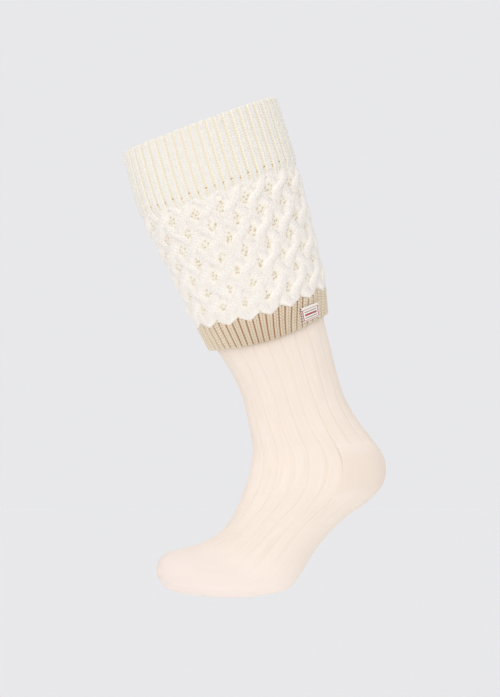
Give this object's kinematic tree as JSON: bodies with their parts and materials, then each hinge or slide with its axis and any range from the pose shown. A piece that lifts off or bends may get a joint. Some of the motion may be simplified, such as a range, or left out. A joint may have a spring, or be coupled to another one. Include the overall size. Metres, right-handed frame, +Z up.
{
  "type": "sock",
  "caption": "Knee-length knitted sock with a turned-over cable-lattice cuff, tan ribbed hem and small woven label, shaped as on a leg.",
  "frame": {"origin": "the middle of the top opening, where the leg goes in", "axes": "+Z up as the sock is worn standing, toe towards -X, heel towards +X, the sock's width along Y"},
  "size_m": [0.2628, 0.1076, 0.4997],
  "materials": {
    "fine_knit": "fine matt wool blend knit",
    "chunky_knit": "thick soft wool knit",
    "tan_knit": "thick marled wool rib",
    "woven_label": "fine woven tape"
  },
  "bodies": {
    "root": {"leg": "fine_knit", "heel": "fine_knit", "foot": "fine_knit", "toe": "fine_knit", "cuff_rib": "chunky_knit", "cuff_cable": "chunky_knit", "cuff_band": "tan_knit", "label": "woven_label"}
  },
  "joints": []
}
